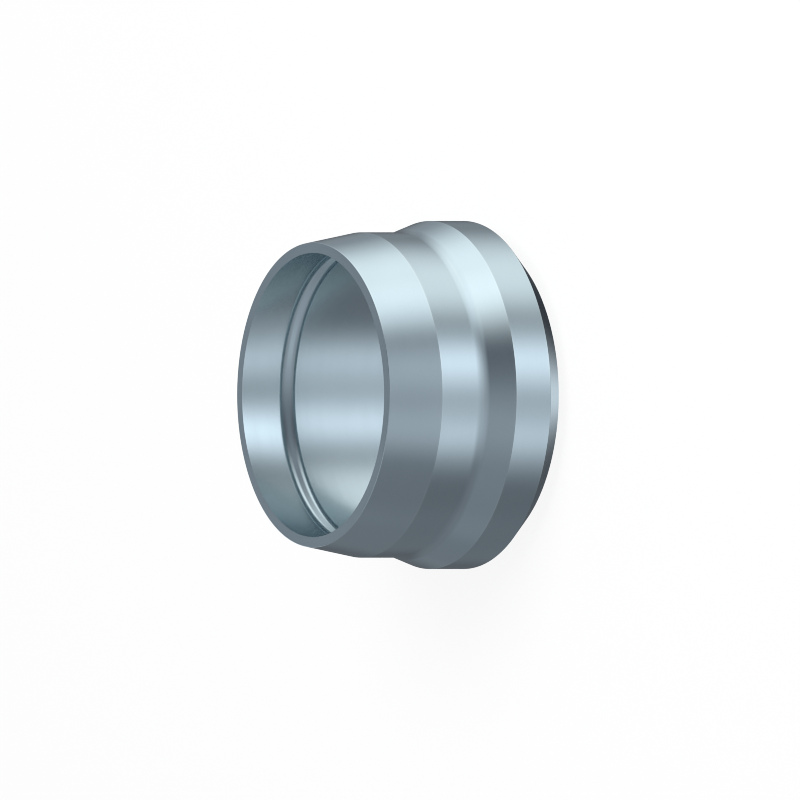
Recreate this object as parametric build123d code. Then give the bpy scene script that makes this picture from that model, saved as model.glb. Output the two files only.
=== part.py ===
from build123d import *

import os
from math import radians, tan

# Cutting ring for a 24 degree cone fitting on a metric tube. It is one turned
# piece. The origin is the centre of the rear face, +Z runs along the tube axis
# towards the nose, and the ring stands on its rear face at z = 0.
# Lengths are in millimetres and angles in degrees, each taper from the axis.

# Tube that the ring slides on, and the play between the two on the diameter.
tube_diameter = 15.0
tube_play = 0.1

# Nose, which the cone of the fitting presses onto the tube: the wall at its
# end face, and its taper.
nose_wall = 0.55
nose_length = 2.95
nose_angle = 10.5

# Land behind the nose, of one diameter.
land_length = 2.5

# Taper up to the collar, which leaves the land in a wide hollow round.
step_length = 1.7
step_angle = 19.5
step_foot_radius = 2.2

# Collar, and the shoulder behind it that the cone of the nut presses.
collar_length = 2.1
shoulder_length = 1.15
shoulder_angle = 45.0

# Inside: the first cutting edge is the inner corner of the nose. A conical
# relief widens behind it, and a flank leads back in to the second edge.
relief_length = 2.7
relief_depth = 0.46
relief_root_radius = 0.4
flank_angle = 50.0
second_edge_radius = 0.4

# Lead-in at the rear of the bore, and the break on the two outer end corners.
lead_in = 0.2
edge_break = 0.05

# Radii, built up from the bore.
bore_radius = (tube_diameter + tube_play) / 2
relief_radius = bore_radius + relief_depth
nose_radius = bore_radius + nose_wall
land_radius = nose_radius + nose_length * tan(radians(nose_angle))
collar_radius = land_radius + step_length * tan(radians(step_angle))
rear_radius = collar_radius - shoulder_length * tan(radians(shoulder_angle))

# Heights of the corners above the rear face.
collar_top = shoulder_length + collar_length
step_top = collar_top + step_length
land_top = step_top + land_length
nose_top = land_top + nose_length
relief_end = nose_top - relief_length
second_edge = relief_end - relief_depth / tan(radians(flank_angle))


def ring_section():
    """Half section of the ring in the XZ plane, from the first edge round by the outside."""
    corners = [
        (bore_radius, nose_top, 0),
        (nose_radius, nose_top, edge_break),
        (land_radius, land_top, 0),
        (land_radius, step_top, step_foot_radius),
        (collar_radius, collar_top, 0),
        (collar_radius, shoulder_length, 0),
        (rear_radius, 0, edge_break),
        (bore_radius + lead_in, 0, 0),
        (bore_radius, lead_in, 0),
        (bore_radius, second_edge, second_edge_radius),
        (relief_radius, relief_end, relief_root_radius),
    ]
    points = [(radius, height) for radius, height, _ in corners]
    rounds = [corner_radius for _, _, corner_radius in corners]
    with BuildSketch(Plane.XZ) as section:
        with BuildLine():
            FilletPolyline(*points, radius=rounds, close=True)
        make_face()
    return section.sketch


def cutting_ring():
    """The whole ring, turned from its half section."""
    return revolve(ring_section(), axis=Axis.Z)


ring = cutting_ring()
ring.label = "cutting_ring"

os.makedirs("parts", exist_ok=True)
export_step(ring, "parts/cutting_ring.step")
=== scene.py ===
"""Cutting ring for a 24 degree cone fitting, dressed as turned and zinc plated steel.

The ring stands on its rear face, with its nose up and the tube axis on +Z. All
lengths are in metres and all angles in degrees unless a name says otherwise.
"""

import logging
from dataclasses import dataclass, field
from enum import Enum
from math import cos, pi, radians, sin, tan
from typing import Iterable, Mapping, Optional, Union

import bmesh
import bpy
from mathutils import Matrix, Vector


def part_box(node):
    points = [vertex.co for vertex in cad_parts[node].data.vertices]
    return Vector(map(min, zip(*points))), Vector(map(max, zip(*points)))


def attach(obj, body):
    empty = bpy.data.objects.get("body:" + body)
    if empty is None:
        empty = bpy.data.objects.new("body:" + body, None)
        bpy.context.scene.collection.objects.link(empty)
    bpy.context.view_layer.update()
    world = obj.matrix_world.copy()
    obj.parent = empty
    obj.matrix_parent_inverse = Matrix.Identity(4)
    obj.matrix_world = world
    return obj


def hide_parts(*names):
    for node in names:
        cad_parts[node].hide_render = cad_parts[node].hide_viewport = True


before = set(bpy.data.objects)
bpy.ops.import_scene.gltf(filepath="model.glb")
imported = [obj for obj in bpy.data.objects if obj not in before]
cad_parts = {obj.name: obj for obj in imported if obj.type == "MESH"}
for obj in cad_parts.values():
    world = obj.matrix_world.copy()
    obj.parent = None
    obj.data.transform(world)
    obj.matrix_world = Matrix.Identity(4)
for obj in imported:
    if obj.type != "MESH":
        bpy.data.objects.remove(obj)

# One millimetre, in metres.
MM = 0.001
# Pixels on each side of the picture, and the width of the filter over each pixel.
IMAGE_SIZE = 800
FILTER_WIDTH = 1.0
# The relief mirrors itself many times over before its light leaves the ring.
MOST_BOUNCES = 16
# Colour sockets of a Mix node, which have the same names as its number sockets.
MIX_FIRST, MIX_SECOND, MIX_RESULT = 6, 7, 2
WHITE = (1.0, 1.0, 1.0)
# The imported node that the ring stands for.
NODE = "cutting_ring"

log = logging.getLogger("cutting_ring")


class Seen(Enum):
    """The kinds of ray that a backdrop can answer in its own way."""

    CAMERA = "Is Camera Ray"
    GLOSSY = "Is Glossy Ray"
    TRANSMISSION = "Is Transmission Ray"


class Tone(Enum):
    """The colours of light that the studio's soft boxes have."""

    PLAIN = (0.936, 1.0, 0.98)
    COOL = (0.907, 1.0, 1.055)
    BLUE = (0.90, 1.0, 1.10)
    TEAL = (0.87, 1.0, 1.0)


class Value:
    """A number in a node tree. Sums and products of such values add Math nodes."""

    def __init__(self, tree: "Tree", socket: bpy.types.NodeSocket) -> None:
        """Wraps one output socket of the tree."""
        self.tree = tree
        self.socket = socket

    def __add__(self, other: "Term") -> "Value":
        """This value plus another."""
        return self.tree.math("ADD", self, other)

    def __sub__(self, other: "Term") -> "Value":
        """This value less another."""
        return self.tree.math("SUBTRACT", self, other)

    def __rsub__(self, other: "Term") -> "Value":
        """Another value less this one."""
        return self.tree.math("SUBTRACT", other, self)

    def __mul__(self, other: "Term") -> "Value":
        """This value times another."""
        return self.tree.math("MULTIPLY", self, other)

    def __abs__(self) -> "Value":
        """This value without its sign."""
        return self.tree.math("ABSOLUTE", self)

    __radd__ = __add__
    __rmul__ = __mul__

    def fall(self, start: float, end: float) -> "Value":
        """Falls smoothly from 1 to 0.

        Args:
            start: Up to here the result is 1.
            end: From here on the result is 0.

        Returns:
            The smooth step between the two.
        """
        inputs = {"Value": self, "From Min": start, "From Max": end, "To Min": 1.0, "To Max": 0.0}
        node = self.tree.add("ShaderNodeMapRange", {"interpolation_type": "SMOOTHSTEP"}, inputs)
        return Value(self.tree, node.outputs["Result"])


Term = Union[float, Value]


class Tree:
    """The node tree of a material or of the world, which is filled by one method."""

    def __init__(self, owner: Union[bpy.types.Material, bpy.types.World]) -> None:
        """Empties the owner's tree and keeps it."""
        owner.use_nodes = True
        self.nodes = owner.node_tree.nodes
        self.links = owner.node_tree.links
        self.nodes.clear()

    def add(
        self,
        kind: str,
        settings: Optional[Mapping[str, object]] = None,
        inputs: Optional[Mapping[Union[str, int], object]] = None,
    ) -> bpy.types.Node:
        """Adds one node.

        Args:
            kind: Blender's name of the node type.
            settings: The node's own properties, which are set first.
            inputs: What each named or numbered input gets, a constant or a link.

        Returns:
            The new node.
        """
        node = self.nodes.new(kind)
        for name, setting in (settings or {}).items():
            setattr(node, name, setting)
        for name, given in (inputs or {}).items():
            source = given.socket if isinstance(given, Value) else given
            if isinstance(source, bpy.types.NodeSocket):
                self.links.new(source, node.inputs[name])
            else:
                node.inputs[name].default_value = source
        return node

    def math(self, operation: str, *terms: Term) -> Value:
        """Adds a Math node.

        Args:
            operation: Name of the node's operation.
            terms: Its inputs in order, each a number or a value.

        Returns:
            The node's result.
        """
        node = self.add("ShaderNodeMath", {"operation": operation}, dict(enumerate(terms)))
        return Value(self, node.outputs[0])

    def seen(self, *kinds: Seen) -> Value:
        """One for the kinds of ray that are named, and zero for the rest."""
        path = self.add("ShaderNodeLightPath")
        first, *others = [Value(self, path.outputs[kind.value]) for kind in kinds]
        return sum(others, first)

    def axes(self, vector: bpy.types.NodeSocket) -> tuple[Value, Value, Value]:
        """The three numbers of a vector."""
        split = self.add("ShaderNodeSeparateXYZ", inputs={0: vector})
        return tuple(Value(self, socket) for socket in split.outputs)

    def blend(self, share: Term, first: object, second: object) -> bpy.types.NodeSocket:
        """Mixes two colours.

        Args:
            share: How much of the second colour there is, from 0 to 1.
            first: A colour or a link to one.
            second: A colour or a link to one.

        Returns:
            The mixed colour.
        """
        inputs = {0: share, MIX_FIRST: first, MIX_SECOND: second}
        return self.add("ShaderNodeMix", {"data_type": "RGBA"}, inputs).outputs[MIX_RESULT]

    def mix(self, share: Term, first: bpy.types.Node, second: bpy.types.Node) -> bpy.types.Node:
        """Mixes two shaders, with a share of the second from 0 to 1."""
        inputs = {0: share, 1: first.outputs[0], 2: second.outputs[0]}
        return self.add("ShaderNodeMixShader", inputs=inputs)

    def finish(self, kind: str, shader: bpy.types.Node) -> None:
        """Links a shader to the surface of a new output node of the given type."""
        self.add(kind, inputs={"Surface": shader.outputs[0]})


@dataclass(frozen=True)
class Section:
    """Half section of the ring, from the tube axis outwards."""

    bore_radius: float = 7.55 * MM
    nose_wall: float = 0.55 * MM
    nose_length: float = 2.95 * MM
    nose_angle: float = 10.5
    land_length: float = 2.5 * MM
    step_length: float = 1.7 * MM
    step_angle: float = 19.5
    step_foot_radius: float = 2.2 * MM
    collar_length: float = 2.1 * MM
    shoulder_length: float = 1.15 * MM
    shoulder_angle: float = 45.0
    relief_length: float = 2.7 * MM
    relief_depth: float = 0.46 * MM
    relief_root_radius: float = 0.4 * MM
    flank_angle: float = 50.0
    second_edge_radius: float = 0.4 * MM
    lead_in: float = 0.2 * MM
    edge_break: float = 0.04 * MM

    def outside(self) -> list[tuple[float, float, float]]:
        """Corners of the outer wall.

        Returns:
            Radius, height and rounding of each corner, from the nose down to the rear face.
        """
        nose_radius = self.bore_radius + self.nose_wall
        land_radius = nose_radius + self.nose_length * tan(radians(self.nose_angle))
        collar_radius = land_radius + self.step_length * tan(radians(self.step_angle))
        rear_radius = collar_radius - self.shoulder_length * tan(radians(self.shoulder_angle))
        collar_top = self.shoulder_length + self.collar_length
        step_top = collar_top + self.step_length
        land_top = step_top + self.land_length
        return [
            (nose_radius, self.height(), self.edge_break),
            (land_radius, land_top, self.edge_break),
            (land_radius, step_top, self.step_foot_radius),
            (collar_radius, collar_top, self.edge_break),
            (collar_radius, self.shoulder_length, self.edge_break),
            (rear_radius, 0.0, self.edge_break),
        ]

    def inside(self) -> list[tuple[float, float, float]]:
        """Corners of the bore.

        Returns:
            Radius, height and rounding of each corner, from the rear face up to the first edge.
        """
        relief_end = self.height() - self.relief_length
        second_edge = relief_end - self.relief_depth / tan(radians(self.flank_angle))
        return [
            (self.bore_radius + self.lead_in, 0.0, 0.0),
            (self.bore_radius, self.lead_in, 0.0),
            (self.bore_radius, second_edge, self.second_edge_radius),
            (self.bore_radius + self.relief_depth, relief_end, self.relief_root_radius),
            (self.bore_radius, self.height(), 0.0),
        ]

    def bore_border(self) -> tuple[float, float]:
        """Largest radius of the bore, and the outer radius of the nose's end face."""
        return self.bore_radius + self.relief_depth, self.bore_radius + self.nose_wall

    def height(self) -> float:
        """Length of the ring along the tube axis."""
        cones = self.nose_length + self.step_length + self.shoulder_length
        return cones + self.land_length + self.collar_length


@dataclass(frozen=True)
class PlatedSteel:
    """Zinc plated steel with the fine turning marks of the lathe under the plating."""

    name: str = "plated_steel"
    bright: tuple[float, float, float, float] = (0.617, 0.70, 0.748, 1.0)
    clouded: tuple[float, float, float, float] = (0.597, 0.68, 0.728, 1.0)
    worn: tuple[float, float, float, float] = (0.66, 0.735, 0.77, 1.0)
    cloud_size: float = 4.0 * MM
    cloud_detail: float = 3.0
    cloud_range: tuple[float, float] = (0.35, 0.65)
    worn_range: tuple[float, float] = (0.7, 0.3)
    roughness: float = 0.16
    bore_roughness: float = 0.24
    roughness_spread: float = 0.06
    mark_pitch: float = 0.45 * MM
    mark_detail: float = 1.0
    mark_depth: float = 0.0003 * MM
    wear_width: float = 0.12 * MM

    def material(
        self,
        edges: Iterable[tuple[float, float]],
        bore_border: tuple[float, float],
    ) -> bpy.types.Material:
        """Builds the material.

        Args:
            edges: Radius and height of each outer edge, where handling brightens the plating.
            bore_border: The two radii between which the bore's rougher finish ends.

        Returns:
            The finished material.
        """
        steel = bpy.data.materials.new(self.name)
        tree = Tree(steel)
        place = tree.add("ShaderNodeTexCoord").outputs["Object"]
        x, y, z = tree.axes(place)
        radius = tree.math("SQRT", x * x + y * y)
        section = tree.add("ShaderNodeCombineXYZ", inputs={0: radius, 1: z}).outputs[0]
        cloud = self._noise(tree, place, 1 / self.cloud_size, self.cloud_detail)
        marks = self._noise(tree, section, 1 / self.mark_pitch, self.mark_detail)
        wear = self._wear(tree, section, edges) * cloud.fall(*self.worn_range)
        colour = tree.blend(cloud.fall(*self.cloud_range), self.bright, self.clouded)
        colour = tree.blend(wear, colour, self.worn)
        in_bore = radius.fall(*bore_border)
        rough = self.roughness + in_bore * (self.bore_roughness - self.roughness)
        rough = rough + (marks - 0.5) * self.roughness_spread
        bump = tree.add("ShaderNodeBump", inputs={"Height": marks, "Distance": self.mark_depth})
        shader = tree.add("ShaderNodeBsdfPrincipled", inputs={
            "Base Color": colour,
            "Metallic": 1.0,
            "Roughness": rough,
            "Normal": bump.outputs[0],
        })
        tree.finish("ShaderNodeOutputMaterial", shader)
        return steel

    def _noise(self, tree: Tree, place: bpy.types.NodeSocket, scale: float, detail: float) -> Value:
        """Soft noise between 0 and 1 at the given scale."""
        inputs = {"Vector": place, "Scale": scale, "Detail": detail}
        return Value(tree, tree.add("ShaderNodeTexNoise", inputs=inputs).outputs[0])

    def _wear(
        self,
        tree: Tree,
        section: bpy.types.NodeSocket,
        edges: Iterable[tuple[float, float]],
    ) -> Value:
        """Finds how near a point of the skin is to an outer edge.

        Args:
            tree: The material's node tree.
            section: Radius and height of the point, as a vector.
            edges: Radius and height of each outer edge.

        Returns:
            One on the edges, and zero from the wear width on.
        """
        near = []
        for edge_radius, edge_height in edges:
            inputs = {0: section, 1: (edge_radius, edge_height, 0.0)}
            reach = tree.add("ShaderNodeVectorMath", {"operation": "DISTANCE"}, inputs)
            near.append(Value(tree, reach.outputs["Value"]).fall(0.0, self.wear_width))
        return sum(near[1:], near[0])


@dataclass
class CuttingRing:
    """The turned ring, one closed solid of revolution about +Z."""

    section: Section = field(default_factory=Section)
    finish: PlatedSteel = field(default_factory=PlatedSteel)
    steps: int = 512
    round_segments: int = 10
    break_segments: int = 4
    sharp_turn: float = 30.0
    merge_distance: float = 1e-7

    def build(self) -> bpy.types.Object:
        """Builds the ring, dresses it and puts it in the frame.

        Returns:
            The finished piece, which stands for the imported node.
        """
        shape = bmesh.new()
        self._draw(shape)
        self._turn(shape)
        normals = [self._normal(loop) for face in shape.faces for loop in face.loops]
        mesh = bpy.data.meshes.new(NODE)
        shape.to_mesh(mesh)
        shape.free()
        mesh.shade_smooth()
        mesh.normals_split_custom_set(normals)
        ring = bpy.data.objects.new("turned_ring", mesh)
        bpy.context.scene.collection.objects.link(ring)
        edges = [(radius, height) for radius, height, _ in self.section.outside()]
        mesh.materials.append(self.finish.material(edges, self.section.bore_border()))
        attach(ring, "root")
        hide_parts(NODE)
        return ring

    def _draw(self, shape: bmesh.types.BMesh) -> None:
        """Draws the half section in the XZ plane, as one face with its corners rounded."""
        corners = self.section.outside() + self.section.inside()
        points = [shape.verts.new((radius, 0.0, height)) for radius, height, _ in corners]
        shape.faces.new(points)
        for index, (_, _, rounding) in enumerate(corners):
            if rounding:
                self._round(shape, points[index], rounding)

    def _round(self, shape: bmesh.types.BMesh, corner: bmesh.types.BMVert, rounding: float) -> None:
        """Rounds one corner of the section to the given radius."""
        first, second = [edge.other_vert(corner).co - corner.co for edge in corner.link_edges]
        turn = pi - first.angle(second)
        is_break = rounding == self.section.edge_break
        segments = self.break_segments if is_break else self.round_segments
        bmesh.ops.bevel(
            shape,
            geom=[corner],
            offset=rounding * tan(turn / 2),
            offset_type="OFFSET",
            segments=segments,
            profile=0.5,
            affect="VERTICES",
            material=-1,
        )

    def _turn(self, shape: bmesh.types.BMesh) -> None:
        """Spins the section about the tube axis and closes the skin."""
        bmesh.ops.delete(shape, geom=shape.faces[:], context="FACES_ONLY")
        bmesh.ops.spin(
            shape,
            geom=shape.verts[:] + shape.edges[:],
            cent=(0.0, 0.0, 0.0),
            axis=(0.0, 0.0, 1.0),
            angle=2 * pi,
            steps=self.steps,
            use_merge=True,
        )
        bmesh.ops.remove_doubles(shape, verts=shape.verts[:], dist=self.merge_distance)
        bmesh.ops.recalc_face_normals(shape, faces=shape.faces[:])
        for edge in shape.edges:
            edge.smooth = edge.calc_face_angle() < radians(self.sharp_turn)

    def _normal(self, loop: bmesh.types.BMLoop) -> Vector:
        """Normal of one corner of a face, in which the large faces count most.

        So a straight wall keeps its own normal up to the round beside it.

        Args:
            loop: The corner of the face.

        Returns:
            The mean normal of the faces that meet there without a sharp edge.
        """
        smooth = [
            face for face in loop.vert.link_faces
            if face.normal.angle(loop.face.normal) < radians(self.sharp_turn)
        ]
        return sum((face.normal * face.calc_area() for face in smooth), Vector()).normalized()


@dataclass(frozen=True)
class SoftBox:
    """A soft light in the studio, or a dark flag, by where it stands as seen from the ring.

    The azimuth goes from the camera's side, which is -Y, towards +X, and the
    elevation from the horizon up. The edge is the half width over which the
    light fades out on each side of its border. A flag has a negative strength.
    """

    name: str
    tone: Tone
    azimuth: float
    elevation: float
    half_width: float
    half_height: float
    side_edge: float
    top_edge: float
    strength: float

    def light(self, azimuth: Value, elevation: Value) -> Value:
        """Light that comes from a direction.

        Args:
            azimuth: Azimuth of the direction, in radians.
            elevation: Elevation of the direction, in radians.

        Returns:
            The strength there, zero outside the box.
        """
        aside = abs(azimuth.tree.math("WRAP", azimuth - radians(self.azimuth), pi, -pi))
        above = abs(elevation - radians(self.elevation))
        across = aside.fall(
            radians(self.half_width - self.side_edge), radians(self.half_width + self.side_edge)
        )
        along = above.fall(
            radians(self.half_height - self.top_edge), radians(self.half_height + self.top_edge)
        )
        return across * along * self.strength


@dataclass(frozen=True)
class Studio:
    """The soft light round the ring, which only metal sees, and a plain level for the rest.

    What the metal mirrors once comes from the boxes. What it mirrors again,
    inside the bore, comes from the deep boxes.
    """

    level: float = 0.22
    level_rise: float = 0.14
    deep_level: float = 0.36
    plain_level: float = 0.41
    boxes: tuple[SoftBox, ...] = (
        SoftBox("wall", Tone.PLAIN, 91, 0, 30, 39, 30, 16, 1.01),
        SoftBox("window", Tone.COOL, 27, -43, 16, 25, 15, 11, 0.58),
        SoftBox("second window", Tone.COOL, -35, -52, 16, 32, 16, 7, 0.28),
        SoftBox("front fill", Tone.COOL, -2, -31, 34, 28, 14, 28, 0.41),
        SoftBox("back strip", Tone.COOL, 180, -68, 7, 14, 6, 4, 0.76),
        SoftBox("low bank", Tone.COOL, 47, -64, 16, 20, 15, 7, 0.83),
        SoftBox("ceiling", Tone.COOL, -58, 53, 48, 48, 7, 38, 0.09),
        SoftBox("wall's edge", Tone.PLAIN, 59, 3, 17, 9, 17, 9, 0.58),
        SoftBox("low side fill", Tone.COOL, -58, -77, 22, 28, 17, 24, 0.57),
        SoftBox("high flag", Tone.COOL, 34, 35, 27, 37, 16, 12, -0.16),
        SoftBox("wall's far end", Tone.COOL, 130, -1, 28, 21, 14, 21, 0.22),
        SoftBox("wall's foot", Tone.COOL, 62, -14, 15, 8, 14, 8, 0.37),
        SoftBox("level strip", Tone.COOL, 19, -14, 15, 6, 11, 5, 0.07),
        SoftBox("back flag", Tone.COOL, 186, -37, 26, 17, 12, 5, -0.07),
        SoftBox("small back flag", Tone.COOL, 165, -45, 14, 12, 8, 7, -0.06),
        SoftBox("side flag", Tone.COOL, -66, -22, 20, 20, 14, 10, -0.035),
        SoftBox("back window", Tone.COOL, 192, 3, 20, 18, 13, 3, 0.50),
        SoftBox("window's heart", Tone.COOL, 23, -29, 14, 9, 12, 7, 0.06),
        SoftBox("window's foot", Tone.COOL, 36, -52, 15, 14, 12, 8, 0.24),
        SoftBox("second window's heart", Tone.COOL, -34, -46, 14, 14, 11, 8, 0.07),
        SoftBox("far strip", Tone.COOL, 160, -28, 10, 8, 8, 6, 0.07),
        SoftBox("nose flag", Tone.COOL, -3, -9, 9, 7, 8, 6, -0.06),
        SoftBox("wall's near side", Tone.PLAIN, 72, -30, 10, 8, 9, 6, 0.10),
        SoftBox("face flag", Tone.COOL, 180, 32, 22, 10, 12, 6, -0.045),
        SoftBox("flank flag", Tone.COOL, 98, 46, 21, 12, 15, 10, -0.16),
        SoftBox("flank glow", Tone.COOL, -60, 64, 20, 9, 16, 7, 0.15),
        SoftBox("high front flag", Tone.COOL, 4, 70, 38, 9, 28, 8, -0.05),
    )
    deep_boxes: tuple[SoftBox, ...] = (
        SoftBox("narrow glow", Tone.TEAL, 31, -32, 25, 4, 25, 4, 0.30),
        SoftBox("wide glow", Tone.TEAL, 21, -40, 49, 9, 49, 9, 0.15),
        SoftBox("side shade", Tone.TEAL, -86, -26, 52, 16, 52, 16, -0.17),
        SoftBox("level glow", Tone.TEAL, -60, 2, 150, 20, 15, 8, 0.28),
    )

    def build(self) -> None:
        """Makes the world, which the camera sees as white and the metal as soft boxes."""
        world = bpy.data.worlds.new("studio")
        bpy.context.scene.world = world
        tree = Tree(world)
        x, y, z = tree.axes(tree.add("ShaderNodeTexCoord").outputs["Generated"])
        azimuth = tree.math("ARCTAN2", x, y * -1.0)
        elevation = tree.math("ARCSINE", z)
        first = self._tinted(tree, Tone.BLUE, self.level + z * self.level_rise)
        first = self._lit(tree, first, self.boxes, azimuth, elevation)
        deep = [share * self.deep_level for share in Tone.TEAL.value]
        deep = self._lit(tree, deep, self.deep_boxes, azimuth, elevation)
        depth = Value(tree, tree.add("ShaderNodeLightPath").outputs["Glossy Depth"])
        once = depth.fall(1.0, 2.0)
        metal = tree.mix(once, self._background(tree, deep), self._background(tree, first))
        plain = self._background(tree, (self.plain_level,) * 3)
        white = self._background(tree, WHITE)
        metal_or_rest = tree.mix(tree.seen(Seen.GLOSSY), plain, metal)
        shader = tree.mix(tree.seen(Seen.CAMERA, Seen.TRANSMISSION), metal_or_rest, white)
        tree.finish("ShaderNodeOutputWorld", shader)
        world.cycles.sampling_method = "NONE"

    def _lit(
        self,
        tree: Tree,
        light: object,
        boxes: Iterable[SoftBox],
        azimuth: Value,
        elevation: Value,
    ) -> bpy.types.NodeSocket:
        """Adds soft boxes to a light.

        Args:
            tree: The world's node tree.
            light: The light without them, a colour or a link to one.
            boxes: The soft boxes.
            azimuth: Azimuth that the light comes from, in radians.
            elevation: Elevation that it comes from, in radians.

        Returns:
            The light with them.
        """
        for box in boxes:
            glow = self._tinted(tree, box.tone, box.light(azimuth, elevation))
            settings = {"operation": "ADD", "label": box.name}
            light = tree.add("ShaderNodeVectorMath", settings, {0: light, 1: glow}).outputs[0]
        return light

    def _background(self, tree: Tree, light: object) -> bpy.types.Node:
        """A background shader that gives off a light, which is three numbers or a link."""
        colour = light if isinstance(light, bpy.types.NodeSocket) else (*light, 1.0)
        return tree.add("ShaderNodeBackground", inputs={"Color": colour, "Strength": 1.0})

    def _tinted(self, tree: Tree, tone: Tone, strength: Value) -> bpy.types.NodeSocket:
        """A light's colour at the given strength."""
        inputs = {"Vector": tone.value, "Scale": strength}
        return tree.add("ShaderNodeVectorMath", {"operation": "SCALE"}, inputs).outputs[0]


@dataclass(frozen=True)
class KeyLamp:
    """One large soft lamp above the ring, which gives the floor its faint shadow.

    Its power is in watts.
    """

    place: tuple[float, float, float] = (0.12, -0.06, 0.22)
    size: float = 0.16
    power: float = 0.60

    def build(self) -> bpy.types.Object:
        """Makes the lamp, aimed at the ring's foot."""
        data = bpy.data.lights.new("key_lamp", "AREA")
        data.shape = "SQUARE"
        data.size = self.size
        data.energy = self.power
        lamp = bpy.data.objects.new("key_lamp", data)
        lamp.location = self.place
        lamp.rotation_euler = (-Vector(self.place)).to_track_quat("-Z", "Y").to_euler()
        lamp.visible_glossy = False
        bpy.context.scene.collection.objects.link(lamp)
        return lamp


@dataclass(frozen=True)
class Floor:
    """The plain pale floor that the ring stands on."""

    radius: float = 1.2
    segments: int = 96
    colour: tuple[float, float, float, float] = (0.86, 0.87, 0.88, 1.0)
    speckle: tuple[float, float, float, float] = (0.9, 0.9, 0.9, 1.0)
    grain_size: float = 3.0 * MM
    white_share: float = 0.90
    mirrored_share: float = 0.05

    def build(self) -> bpy.types.Object:
        """Makes the floor as one round sheet at the height of the ring's rear face."""
        shape = bmesh.new()
        bmesh.ops.create_circle(shape, cap_ends=True, radius=self.radius, segments=self.segments)
        mesh = bpy.data.meshes.new("floor")
        shape.to_mesh(mesh)
        shape.free()
        mesh.materials.append(self._material())
        floor = bpy.data.objects.new("floor", mesh)
        bpy.context.scene.collection.objects.link(floor)
        return floor

    def _material(self) -> bpy.types.Material:
        """Pale and nearly shadowless for the camera, and nearly clear for the metal."""
        pale = bpy.data.materials.new("pale_floor")
        tree = Tree(pale)
        place = tree.add("ShaderNodeTexCoord").outputs["Object"]
        noise = {"Vector": place, "Scale": 1 / self.grain_size}
        grain = Value(tree, tree.add("ShaderNodeTexNoise", inputs=noise).outputs[0])
        colour = tree.blend(grain, self.colour, self.speckle)
        matt = tree.add("ShaderNodeBsdfDiffuse", inputs={"Color": colour})
        white = self._glow(tree, WHITE)
        clear = tree.add("ShaderNodeBsdfTransparent")
        mirrored = tree.mix(self.mirrored_share, clear, self._glow(tree, Tone.COOL.value))
        shown = tree.mix(tree.seen(Seen.CAMERA, Seen.TRANSMISSION) * self.white_share, matt, white)
        shader = tree.mix(tree.seen(Seen.GLOSSY), shown, mirrored)
        tree.finish("ShaderNodeOutputMaterial", shader)
        return pale

    def _glow(self, tree: Tree, light: tuple[float, float, float]) -> bpy.types.Node:
        """A shader that glows with a colour at full strength."""
        return tree.add("ShaderNodeEmission", inputs={"Color": (*light, 1.0), "Strength": 1.0})


@dataclass(frozen=True)
class Viewpoint:
    """Parallel view from the nose side, rolled so that the tube axis lies level in the picture."""

    elevation: float = 30.0
    pixels_per_metre: float = 18820.0
    nose_x: float = 313.1
    nose_y: float = 395.0
    distance: float = 0.3

    def build(self, nose: Vector) -> bpy.types.Object:
        """Makes the camera.

        Args:
            nose: Centre of the ring's nose face, which the picture shows at nose_x, nose_y.

        Returns:
            The camera.
        """
        tilt = radians(self.elevation)
        back = Vector((0.0, -cos(tilt), sin(tilt)))
        up = Vector((1.0, 0.0, 0.0))
        right = up.cross(back)
        middle = IMAGE_SIZE / 2
        across = right * ((middle - self.nose_x) / self.pixels_per_metre)
        down = up * ((middle - self.nose_y) / self.pixels_per_metre)
        place = nose + across - down + back * self.distance
        data = bpy.data.cameras.new("camera")
        data.type = "ORTHO"
        data.ortho_scale = IMAGE_SIZE / self.pixels_per_metre
        camera = bpy.data.objects.new("camera", data)
        turn = Matrix((right, up, back)).transposed().to_4x4()
        camera.matrix_world = Matrix.Translation(place) @ turn
        bpy.context.scene.collection.objects.link(camera)
        bpy.context.scene.camera = camera
        return camera


def main() -> None:
    """Builds the ring, the floor, the light and the camera in that order."""
    logging.basicConfig(level=logging.INFO, format="%(message)s")
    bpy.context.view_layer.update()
    scene = bpy.context.scene
    scene.view_settings.view_transform = "Standard"
    scene.cycles.max_bounces = MOST_BOUNCES
    scene.cycles.glossy_bounces = MOST_BOUNCES
    scene.cycles.filter_width = FILTER_WIDTH
    # With its guides on, the denoiser leaves grain where the relief mirrors itself.
    scene.cycles.denoising_input_passes = "RGB"
    ring = CuttingRing().build()
    log.info("%s has %d faces", ring.name, len(ring.data.polygons))
    floor = Floor().build()
    log.info("%s is in place", floor.name)
    Studio().build()
    lamp = KeyLamp().build()
    log.info("%s is in place", lamp.name)
    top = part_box(NODE)[1][2]
    camera = Viewpoint().build(Vector((0.0, 0.0, top)))
    log.info("%s looks at the nose", camera.name)


if __name__ == "__main__":
    main()
